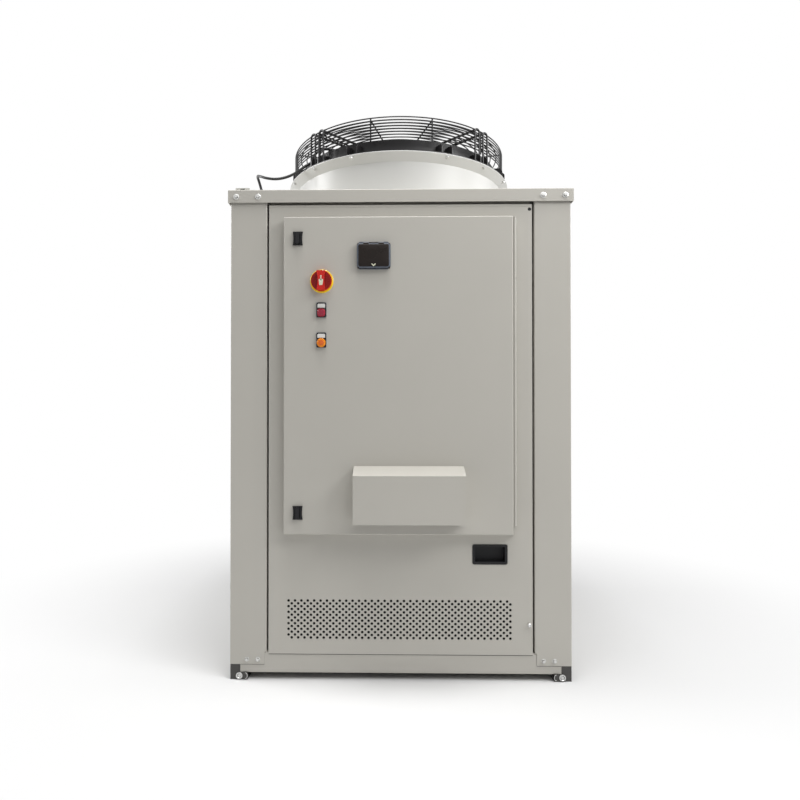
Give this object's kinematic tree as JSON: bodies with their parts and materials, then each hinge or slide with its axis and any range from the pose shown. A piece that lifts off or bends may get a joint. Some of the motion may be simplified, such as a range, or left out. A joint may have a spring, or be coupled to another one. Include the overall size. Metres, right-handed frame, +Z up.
{
  "type": "monoblock heat pump with a vertical-blow fan",
  "caption": "Outdoor sheet-metal heat pump with a round fan and wire guard on its roof, finned coils on three sides and a hinged control door with a main switch in front.",
  "frame": {"origin": "on the floor, in the middle of the four anchor holes", "axes": "+Z up along the fan's axis, -Y out of the front with the control door, +X to the viewer's right"},
  "size_m": [1.014, 1.139, 1.7188],
  "materials": {
    "cabinet_paint": "satin light grey powder coat",
    "frame_paint": "satin light grey powder coat",
    "cowl_white": "satin white coat",
    "foot_black": "dull black coat",
    "plate_pale": "dull",
    "zinc": "galvanised",
    "bright_zinc": "bright zinc plate",
    "coil_fins": "bare fins",
    "gasket_rubber": "foam rubber",
    "black_plastic": "fine grain",
    "grey_plastic": "satin",
    "yellow_plastic": "gloss",
    "red_plastic": "gloss",
    "red_lens": "translucent gloss",
    "orange_lens": "translucent gloss",
    "window_clear": "translucent grey",
    "window_smoked": "smoked",
    "brass": "turned",
    "fan_black": "semi-gloss black coat",
    "impeller_black": "glass-filled plastic",
    "cable_black": "smooth sheath"
  },
  "bodies": {
    "cabinet": {"base_frame": "frame_paint", "corner_feet": "foot_black", "corner_post_front_left": "cabinet_paint", "corner_post_front_right": "cabinet_paint", "corner_post_rear_left": "cabinet_paint", "corner_post_rear_right": "cabinet_paint", "roof_cap": "cabinet_paint", "roof_plate": "plate_pale", "decks": "zinc", "front_panel": "cabinet_paint", "vent_field": "cabinet_paint", "lower_panels": "cabinet_paint", "coil_left": "coil_fins", "coil_right": "coil_fins", "coil_rear": "coil_fins", "control_box": "cabinet_paint", "mounting_plate": "zinc", "hinge_leaf": "cabinet_paint", "pull_handle": "black_plastic", "panel_lock": "bright_zinc", "water_connections": "brass", "cowl": "cowl_white", "fan_ring": "fan_black", "guard_side": "fan_black", "guard_top": "fan_black", "guard_hairpins": "fan_black", "motor_arms": "fan_black", "fan_motor": "fan_black", "cable_gland": "black_plastic", "fan_cable": "cable_black"},
    "control_door": {"control_door": "cabinet_paint", "door_gasket": "gasket_rubber", "switch_plate": "yellow_plastic", "pilot_holders": "grey_plastic", "pilot_red": "red_lens", "pilot_orange": "orange_lens", "window_frame": "window_clear", "controller": "black_plastic", "vent_hood": "cabinet_paint"},
    "latch_upper": {"latch_upper": "black_plastic"},
    "latch_lower": {"latch_lower": "black_plastic"},
    "switch_handle": {"switch_handle": "red_plastic"},
    "window_flap": {"window_flap": "window_smoked"},
    "impeller": {"impeller": "impeller_black"}
  },
  "joints": [
    {"name": "control_door_hinge", "type": "hinge", "parent": "cabinet", "child": "control_door", "pos_m": [0.332, -0.5205, 0.8915], "axis": [0, 0, 1], "range_deg": [0, 120]},
    {"name": "latch_upper_turn", "type": "hinge", "parent": "control_door", "child": "latch_upper", "pos_m": [-0.2965, -0.53, 1.288], "axis": [0, 1, 0], "range_deg": [0, 90]},
    {"name": "latch_lower_turn", "type": "hinge", "parent": "control_door", "child": "latch_lower", "pos_m": [-0.2965, -0.53, 0.494], "axis": [0, 1, 0], "range_deg": [0, 90]},
    {"name": "switch_turn", "type": "hinge", "parent": "control_door", "child": "switch_handle", "pos_m": [-0.2275, -0.53, 1.164], "axis": [0, -1, 0], "range_deg": [0, 90]},
    {"name": "window_flap_hinge", "type": "hinge", "parent": "control_door", "child": "window_flap", "pos_m": [-0.0765, -0.5388, 1.27155], "axis": [-1, 0, 0], "range_deg": [0, 90]},
    {"name": "impeller_spin", "type": "hinge", "parent": "cabinet", "child": "impeller", "pos_m": [0, 0, 1.599], "axis": [0, 0, 1], "continuous": true}
  ]
}
